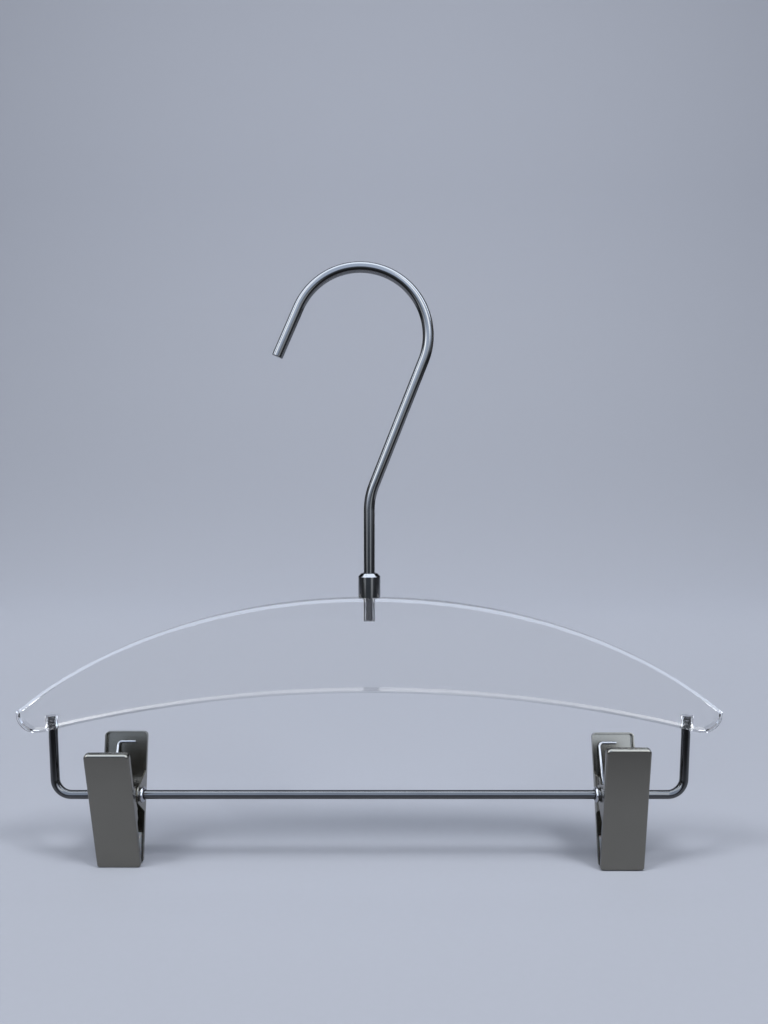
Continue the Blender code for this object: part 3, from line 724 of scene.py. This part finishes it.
def jawStamping(s):
    # One pressed sheet: a tapered face, bent flanges, and an ear on each side flange
    low, high = s["tipWidth"] / 2, s["topWidth"] / 2
    shape = bmesh.new()
    corners = [(-low, 0, 0), (low, 0, 0), (high, 0, s["length"]), (-high, 0, s["length"])]
    shape.faces.new([shape.verts.new(corner) for corner in corners])
    grown = bmesh.ops.extrude_edge_only(shape, edges=shape.edges[:])["geom"]
    bmesh.ops.translate(shape, verts=onlyVerts(grown), vec=(0, s["depth"], 0))
    for size, atTop in ((s["corner"], True), (s["tipCorner"], False)):
        posts = [
            e for e in shape.edges
            if abs(e.verts[0].co.y - e.verts[1].co.y) > s["depth"] / 2
            and abs(e.verts[0].co.x) > low - 1e-6
            and (e.verts[0].co.z > s["length"] / 2) == atTop
        ]
        bmesh.ops.bevel(
            shape, geom=posts, offset=size, segments=10 if atTop else 6, profile=0.5,
            affect="EDGES", material=-1,
        )
    bends = [
        e for e in shape.edges
        if all(abs(v.co.y) < 1e-6 for v in e.verts) and len(e.link_faces) == 2
    ]
    bmesh.ops.bevel(
        shape, geom=bends, offset=s["bend"], segments=7, profile=0.5,
        affect="EDGES", material=-1,
    )
    for side, joggle in ((-1, 0), (1, s["sheet"] + place["gap"])):
        for at in (-s["earFoot"], s["earFoot"]):
            flange = [
                f for f in shape.faces
                if all(side * v.co.x > low - 0.0001 and v.co.y > s["bend"] - 1e-5 for v in f.verts)
                and f.calc_area() > 1e-5
            ]
            cutAcross(shape, flange, (0, 0, pivotRise + at), (0, 0, 1))
        rim = [
            e for e in shape.edges
            if all(abs(v.co.y - s["depth"]) < 1e-6 and side * v.co.x > low - 0.0001
                   and abs(v.co.z - pivotRise) < s["earFoot"] + 1e-5 for v in e.verts)
        ]
        jawEar(shape, s, side, rim, joggle)
    bmesh.ops.recalc_face_normals(shape, faces=shape.faces)
    front = max(shape.faces, key=lambda f: f.calc_area())
    if front.normal.y > 0:
        bmesh.ops.reverse_faces(shape, faces=shape.faces)
    turn = Matrix.Translation((0, pivotDepth, pivotRise)) @ Matrix.Rotation(pi / 2, 4, "Y")
    cut = drill(s["hole"], 2 * s["topWidth"], turn)
    mesh = bakedMesh(shape, [
        ("SOLIDIFY", {"thickness": s["sheet"], "offset": -1.0, "use_even_offset": True}),
        ("BOOLEAN", {"object": cut, "solver": "EXACT"}),
        ("BEVEL", {
            "width": s["edgeRound"], "segments": 2, "limit_method": "ANGLE",
            "angle_limit": radians(50), "harden_normals": False,
        }),
        ("WEIGHTED_NORMAL", {"mode": "FACE_AREA", "weight": 100, "keep_sharp": False}),
    ], None)
    bpy.data.objects.remove(cut)
    tilt = Matrix.Rotation(s["tilt"], 4, "X")
    mesh.transform(Matrix.Translation((0, -s["tipOffset"], -s["tipDrop"])) @ tilt)
    return mesh


padSizes = {
    "length": 0.0124, "bead": 0.0044, "ribs": 5, "groove": 0.0005, "land": 0.56,
    "edgeRound": 0.00022,
}


def onJaw(depth, height):
    s = jawSizes
    y = -s["tipOffset"] + depth * cos(s["tilt"]) - height * sin(s["tilt"])
    z = -s["tipDrop"] + depth * sin(s["tilt"]) + height * cos(s["tilt"])
    return y, z


def padShape(s):
    # A moulded block: plain rounded bead above, gripping ribs below
    j, gap = jawSizes, place["gap"]
    back = foot = j["sheet"] + gap
    face = -gap / 2
    faceDepth = (face + j["tipOffset"] + foot * sin(j["tilt"])) / cos(j["tilt"])
    low = onJaw(faceDepth, foot)[1]
    high = low + s["length"]
    pitch = (s["length"] - s["bead"]) / s["ribs"]
    outline = [onJaw(back, foot), (face, low)]
    for i in range(s["ribs"]):
        following = low + (i + 1) * pitch
        groove = pitch * (1 - s["land"])
        outline += [(face, following - groove), (face - s["groove"], following - groove / 2)]
        outline.append((face, following))
    outline += [(face, high)]
    backHeight = (high + j["tipDrop"] - back * sin(j["tilt"])) / cos(j["tilt"])
    outline.append(onJaw(back, backHeight))
    width = j["tipWidth"] - 2 * (j["sheet"] + gap)
    shape = bmesh.new()
    side = shape.faces.new([shape.verts.new((-width / 2, y, z)) for y, z in outline])
    swept = bmesh.ops.extrude_face_region(shape, geom=[side])["geom"]
    bmesh.ops.translate(shape, verts=onlyVerts(swept), vec=(width, 0, 0))
    bmesh.ops.recalc_face_normals(shape, faces=shape.faces)
    crests = [
        e for e in shape.edges
        if e.is_convex and len(e.link_faces) == 2 and e.calc_face_angle(0) > radians(25)
    ]
    bmesh.ops.bevel(
        shape, geom=crests, offset=s["edgeRound"], segments=3, profile=0.5,
        affect="EDGES", clamp_overlap=True, material=-1,
    )
    return shape


tubeSizes = {
    "bore": 0.0050, "outside": 0.0056, "rimDiameter": 0.0077, "rimWidth": 0.0020,
    "mouthSpread": 0.0005, "mouthDepth": 0.0006, "sides": 64, "rollSteps": 12,
}


def tubeShape(s):
    # A thin tube whose ends are rolled outwards into rims outside the ears
    start = earOutside(jawSizes) + place["gap"]
    rim = s["rimWidth"] / 2
    crest = s["rimDiameter"] / 2 - rim
    bore, outside = s["bore"] / 2, s["outside"] / 2
    steps = s["rollSteps"]
    roll = [
        (crest + rim * cos(a), start + rim + rim * sin(a))
        for a in (-pi / 2 + pi * i / steps for i in range(steps + 1))
    ]
    mouth = start + 2 * rim
    upper = [(outside, start)] + roll + [
        (bore + s["mouthSpread"], mouth - 0.0001), (bore, mouth - s["mouthDepth"]),
    ]
    lower = [(radius, -height) for radius, height in reversed(upper)]
    shape = turned(upper + lower, s["sides"])
    bmesh.ops.rotate(
        shape, verts=shape.verts, cent=(0, 0, 0), matrix=Matrix.Rotation(pi / 2, 3, "Y")
    )
    return shape


springSizes = {
    "wire": 0.0016, "fullTurns": 4, "coilGap": 0.0005, "clearance": 0.0004, "leg": 0.026,
    "tip": 0.009, "tipBend": 0.0020, "shift": {"left": 0.0007, "right": -0.0024},
    "sides": 20, "stepsPerTurn": 36, "endRound": 0.0002,
}


def springHalf(s, legOnly):
    # The rear half: half the coil, or the leg with its bent tip. Sections are pushed by
    # operators: a spin that climbs for the coil, runs and a bend for the leg.
    j = jawSizes
    radius = tubeSizes["outside"] / 2 + s["clearance"] + s["wire"] / 2
    room = pivotDepth - j["sheet"] - place["gap"] - s["wire"] / 2
    slant = asin(room / hypot(radius, s["leg"])) - atan2(radius, s["leg"])
    lean = j["tilt"] + slant
    turns = s["fullTurns"] + 0.5 + lean / pi
    halfSpan = (s["wire"] + s["coilGap"]) * turns / 2
    start = Vector((-halfSpan, radius * cos(lean), -radius * sin(lean)))
    way = Vector((0, sin(lean), cos(lean)))
    shape = bmesh.new()
    around = shape.verts.layers.float_vector.new("section")
    ring = bmesh.ops.create_circle(
        shape, cap_ends=False, segments=s["sides"], radius=s["wire"] / 2,
    )
    for corner in ring["verts"]:
        corner[around] = corner.co.normalized()
    facing = way.to_track_quat("Z", "Y").to_matrix().to_4x4()
    bmesh.ops.transform(shape, matrix=Matrix.Translation(start) @ facing, verts=shape.verts)
    firstRing = edges = shape.edges[:]
    if legOnly:
        run = way * (s["leg"] - s["tipBend"])
        edges = pushed(shape, edges, run)
        pivot = start + run + Vector((s["tipBend"], 0, 0))
        axis = way.cross(Vector((1, 0, 0)))
        swung = bmesh.ops.spin(
            shape, geom=edges, cent=pivot, axis=axis, dvec=(0, 0, 0), angle=pi / 2, steps=8,
            use_merge=False,
        )["geom_last"]
        edges = pushed(shape, onlyEdges(swung), (s["tip"] - s["tipBend"], 0, 0))
    else:
        steps = round(turns * s["stepsPerTurn"] / 2)
        climb = Vector((halfSpan / steps, 0, 0))
        swung = bmesh.ops.spin(
            shape, geom=edges, cent=(0, 0, 0), axis=(1, 0, 0), dvec=climb,
            angle=-pi * turns, steps=steps, use_merge=False,
        )["geom_last"]
        edges = onlyEdges(swung)
    caps = []
    for rim in (firstRing, edges):
        caps += bmesh.ops.edgeloop_fill(shape, edges=rim)["faces"]
    if legOnly:
        tipCap = max(caps, key=lambda cap: cap.calc_center_median().x)
        bmesh.ops.bevel(
            shape, geom=list(tipCap.edges), offset=s["endRound"], segments=2, profile=0.5,
            affect="EDGES", material=-1,
        )
    return shape


def makeClip(side, stamping):
    pivot = Vector((place["clipX"][side], 0, place["barZ"]))
    swing = Matrix.Rotation(place["clipSwing"][side], 4, "X")
    shape = tubeShape(tubeSizes)
    bmesh.ops.translate(shape, verts=shape.verts, vec=pivot)
    newPiece(side + "PivotTube", shape, finish["rim"], side + "_tube", [side + "_pivot_tube"],
             40)
    shift = Vector((springSizes["shift"][side], 0, 0))
    for end, turn in (("front", 0), ("rear", pi)):
        around = Matrix.Translation(pivot) @ swing @ Matrix.Rotation(turn, 4, "Z")
        mesh = stamping.copy()
        mesh.transform(around)
        newPiece(side + end.title() + "Jaw", mesh, finish["sheet"], side + "_" + end,
                 [side + "_" + end + "_jaw"])
        shape = padShape(padSizes)
        bmesh.ops.transform(shape, matrix=around, verts=shape.verts)
        newPiece(side + end.title() + "Pad", shape, finish["rubber"], side + "_" + end,
                 [side + "_" + end + "_pad"], 40)
        # The spring's leg rides on its jaw, and its half of the coil winds up between
        across = Matrix.Translation(pivot + shift) @ swing @ Matrix.Rotation(turn + pi, 4, "Z")
        leg = springHalf(springSizes, True)
        bmesh.ops.transform(leg, matrix=across, verts=leg.verts)
        newPiece(side + end.title() + "SpringLeg", leg, finish["spring"], side + "_" + end,
                 [side + "_spring"], 40)
        coil = springHalf(springSizes, False)
        bmesh.ops.transform(coil, matrix=across, verts=coil.verts)
        piece = newPiece(side + end.title() + "SpringCoil", coil, finish["spring"], None,
                         [side + "_spring"], 40)
        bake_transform(piece)


stamping = jawStamping(jawSizes)
for clipSide in ("left", "right"):
    makeClip(clipSide, stamping)
print("clips made")


# Floor, light and camera

stageLook = {
    "colour": (0.415, 0.442, 0.510), "front": -0.75, "back": 0.9, "height": 4.0,
    "halfWidth": 3.5, "sweep": 1.0, "fibre": 300.0, "mottle": 0.012,
    # Metal mirrors the paper as it is only near the hanger: in front of the table's front edge and
    # beyond its half width the paper is painted near black for mirrors, a painted shade
    "paintedMirrorShade": (0.03, 0.03, 0.032), "mirrorShadeFront": (0.03, 0.20), "mirrorShadeSide": (0.8, 1.1),
}


def paperMaterial(name, s):
    made, tree, shader = newMaterial(name, {"Roughness": 0.9, "Specular IOR Level": 0.1})
    where = addNode(tree, "ShaderNodeTexCoord").outputs["Object"]
    parts = addNode(tree, "ShaderNodeSeparateXYZ", Vector=where).outputs
    fibre = addNode(tree, "ShaderNodeTexNoise", Vector=where, Scale=s["fibre"], Detail=3.0)
    dark, light = (
        tuple(part * (1 + shift) for part in s["colour"])
        for shift in (-s["mottle"], s["mottle"])
    )
    paper = blended(tree, fibre.outputs["Fac"], dark, light)
    # Glossy rays, except those inside the clear plate, see the far paper painted near black:
    # painted shade in reflections, while the lamps still light the floor itself
    ahead = fade(tree, numbers(tree, "MULTIPLY", parts["Y"], -1), *s["mirrorShadeFront"])
    aside = fade(tree, numbers(tree, "ABSOLUTE", parts["X"]), *s["mirrorShadeSide"])
    path = addNode(tree, "ShaderNodeLightPath").outputs
    bare = numbers(tree, "SUBTRACT", 1, insideGlass(tree, path))
    away = numbers(tree, "MULTIPLY", path["Is Glossy Ray"], bare)
    away = numbers(tree, "MULTIPLY", away, numbers(tree, "MAXIMUM", ahead, aside))
    colour = blended(tree, away, paper, s["paintedMirrorShade"])
    tree.links.new(colour, shader.inputs["Base Color"])
    return made


def makeStage(s):
    shape = bmesh.new()
    left = shape.verts.new((-s["halfWidth"], s["front"], place["floorZ"]))
    right = shape.verts.new((s["halfWidth"], s["front"], place["floorZ"]))
    edge = [shape.edges.new((left, right))]
    edge = pushed(shape, edge, (0, s["back"] - s["front"], 0))
    swung = bmesh.ops.spin(
        shape, geom=edge, cent=(0, s["back"], place["floorZ"] + s["sweep"]), axis=(1, 0, 0),
        dvec=(0, 0, 0), angle=pi / 2, steps=32, use_merge=False,
    )["geom_last"]
    pushed(shape, onlyEdges(swung), (0, 0, s["height"] - s["sweep"]))
    bmesh.ops.recalc_face_normals(shape, faces=shape.faces)
    mesh = bpy.data.meshes.new("backdrop")
    shape.to_mesh(mesh)
    shape.free()
    mesh.shade_smooth()
    mesh.materials.append(paperMaterial("backdropPaper", s))
    floor = bpy.data.objects.new("backdrop", mesh)
    bpy.context.scene.collection.objects.link(floor)


lightLook = {
    "aim": (0.0, 0.03, -0.25),
    # Each softbox: azimuth and height in degrees as seen from the hanger, distance, size, watts
    "boxes": {
        "leftSoftbox": (-47, 56, 2.2, (0.5, 0.55), 18.8),
        "rightSoftbox": (38, 56, 2.2, (0.5, 0.55), 22.0),
        "topSoftbox": (0, 76, 2.4, (0.9, 0.4), 9.5),
    },
    # Lamps that light the paper behind alone: place, aim, size, watts, spread
    "washes": {
        "wallWash": ((0, -0.3, 2.3), (0, 1.7, 0.8), (3.2, 0.5), 6.6, radians(80)),
        "sweepWash": ((0, 0.75, 1.6), (0, 0.78, -0.3), (2.4, 0.3), 1.3, radians(50)),
    },
    # What plain surfaces see of the room, and what metal and glass see of it
    "ambient": (0.22, 0.23, 0.25),
    "room": (0.12, 0.14, 0.17), "wall": (1.45, 1.72, 2.20), "wallFoot": (-0.10, 0.24),
    "side": (0.22, 0.23, 0.25), "sideFrom": (58, 76),
    # A long bank of light overhead, as slopes towards the front and the lowest height
    "bank": (3.5, 3.9, 4.5), "bankSlope": (0.05, 0.30, 0.40), "bankFrom": (0.30, 0.45),
    # Tall strip lights beside the camera: azimuth and half width in degrees, and where
    # their soft edges end and begin as shares of that half width
    "strip": (4.0, 4.2, 4.4), "strips": ((-48, 12), (30, 11)), "stripEdge": (1.4, 0.6),
    "stripFoot": (0.06, 0.28), "stripTop": (0.85, 0.65), "stripGlow": 0.18,
    "beyond": (0.40, 0.43, 0.50),
    # The darkest and brightest that the room looks from inside the clear plate
    "glassLow": (0.30, 0.32, 0.37), "glassHigh": (2.2, 2.25, 2.35),
}


def makeWorld(s):
    world = bpy.data.worlds.new("studio")
    world.use_nodes = True
    bpy.context.scene.world = world
    tree = world.node_tree
    way = addNode(tree, "ShaderNodeTexCoord").outputs["Generated"]
    parts = addNode(tree, "ShaderNodeSeparateXYZ", Vector=way).outputs
    ahead = numbers(tree, "MULTIPLY", parts["Y"], -1)
    azimuth = numbers(tree, "ARCTAN2", parts["X"], ahead)
    lit = None
    for middle, half in s["strips"]:
        away = numbers(tree, "ABSOLUTE", numbers(tree, "SUBTRACT", azimuth, radians(middle)))
        strip = fade(tree, away, *[radians(half * share) for share in s["stripEdge"]])
        lit = strip if lit is None else numbers(tree, "MAXIMUM", lit, strip)
    foot = fade(tree, parts["Z"], *s["stripFoot"])
    foot = numbers(tree, "MAXIMUM", foot, s["stripGlow"])
    lit = numbers(tree, "MULTIPLY", lit, foot)
    lit = numbers(tree, "MULTIPLY", lit, fade(tree, parts["Z"], *s["stripTop"]))
    wall = blended(tree, fade(tree, parts["Z"], *s["wallFoot"]), s["room"], s["wall"])
    aside = fade(tree, numbers(tree, "ABSOLUTE", azimuth), *[radians(a) for a in s["sideFrom"]])
    wall = blended(tree, aside, wall, s["side"])
    # How far a direction leans to the front, whatever its share to the left or right
    square = numbers(tree, "MULTIPLY", parts["X"], parts["X"])
    across = numbers(tree, "SQRT", numbers(tree, "SUBTRACT", 1.0001, square))
    slope = numbers(tree, "DIVIDE", ahead, across)
    middle, inner, outer = s["bankSlope"]
    away = numbers(tree, "ABSOLUTE", numbers(tree, "SUBTRACT", slope, middle))
    bank = fade(tree, away, outer, inner)
    aloft = fade(tree, parts["Z"], *s["bankFrom"])
    bank = numbers(tree, "MULTIPLY", bank, aloft)
    around = blended(tree, bank, blended(tree, lit, wall, s["strip"]), s["bank"])
    # Seen from inside the clear plate the room is softer
    path = addNode(tree, "ShaderNodeLightPath").outputs
    softer = around
    for operation, limit in (("MAXIMUM", s["glassLow"]), ("MINIMUM", s["glassHigh"])):
        node = addNode(tree, "ShaderNodeVectorMath", operation=operation)
        tree.links.new(softer, node.inputs[0])
        node.inputs[1].default_value = limit
        softer = node.outputs["Vector"]
    around = blended(tree, insideGlass(tree, path), around, softer)
    # The camera sees a plain pale room, also through the clear plate
    low = numbers(tree, "SUBTRACT", 1, aloft)
    through = numbers(tree, "MULTIPLY", path["Is Transmission Ray"], low)
    seen = numbers(tree, "MAXIMUM", path["Is Camera Ray"], through)
    mirror = numbers(tree, "MAXIMUM", path["Is Glossy Ray"], path["Is Transmission Ray"])
    colour = blended(tree, mirror, s["ambient"], around)
    colour = blended(tree, seen, colour, s["beyond"])
    tree.links.new(colour, tree.nodes["Background"].inputs["Color"])


def areaLamp(name, at, aim, size, power, spread):
    data = bpy.data.lights.new(name, "AREA")
    data.shape = "RECTANGLE"
    data.size, data.size_y = size
    data.energy = power
    data.spread = spread
    made = bpy.data.objects.new(name, data)
    made.location = at
    made.rotation_euler = (Vector(aim) - Vector(at)).to_track_quat("-Z", "Y").to_euler()
    made.visible_glossy = made.visible_transmission = False
    bpy.context.scene.collection.objects.link(made)


def makeLight(s):
    for name, (azimuth, height, distance, size, power) in s["boxes"].items():
        side, lift = radians(azimuth), radians(height)
        way = Vector((sin(side) * cos(lift), -cos(side) * cos(lift), sin(lift)))
        areaLamp(name, Vector(s["aim"]) + way * distance, s["aim"], size, power, pi)
    for name, (at, aim, size, power, spread) in s["washes"].items():
        areaLamp(name, at, aim, size, power, spread)


cameraLook = {
    "at": (0.0178, -0.411, -0.10145), "pitch": radians(2.208), "lens": 29.18,
    "shift": -0.0124,
}


def makeCamera(s):
    data = bpy.data.cameras.new("camera")
    data.sensor_fit = "AUTO"
    data.sensor_width = 36
    data.lens = s["lens"]
    data.shift_x = s["shift"]
    data.clip_start = 0.01
    made = bpy.data.objects.new("camera", data)
    made.location = s["at"]
    made.rotation_euler = (pi / 2 - s["pitch"], 0, 0)
    bpy.context.scene.collection.objects.link(made)
    bpy.context.scene.camera = made


makeStage(stageLook)
makeWorld(lightLook)
makeLight(lightLook)
makeCamera(cameraLook)
bpy.context.scene.view_settings.view_transform = "Standard"
print("stage, light and camera ready")
